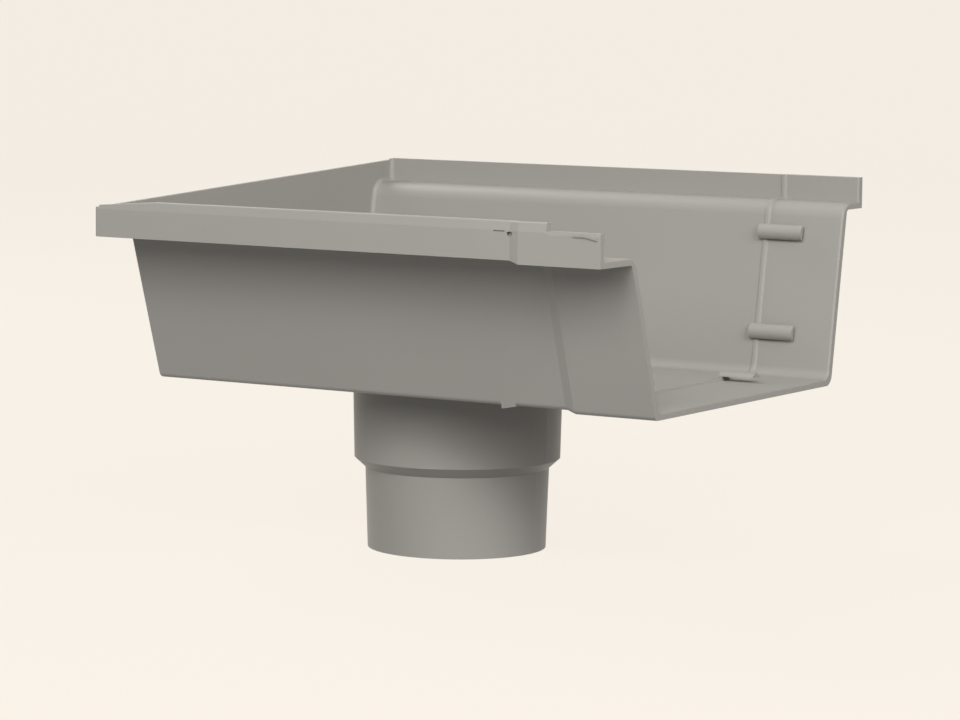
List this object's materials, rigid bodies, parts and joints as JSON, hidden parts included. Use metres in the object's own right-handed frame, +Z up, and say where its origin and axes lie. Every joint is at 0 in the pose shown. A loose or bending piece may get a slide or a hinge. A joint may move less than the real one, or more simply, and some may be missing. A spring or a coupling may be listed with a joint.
{
  "type": "box gutter stop-end outlet",
  "caption": "One-piece moulded box gutter outlet: a trapezoidal trough closed at one end, with a socket at the other and a stepped, tapered pipe stub below its floor.",
  "frame": {"origin": "on the pipe stub's axis, in the plane of the stub's lower rim", "axes": "+X along the trough from the closed end to the open socket end, +Y towards the higher back wall, +Z up"},
  "size_m": [0.3372, 0.3143, 0.2219],
  "materials": {
    "moulded_plastic": "warm grey, satin, as moulded"
  },
  "bodies": {
    "root": {"box_gutter_outlet": "moulded_plastic"}
  },
  "joints": []
}
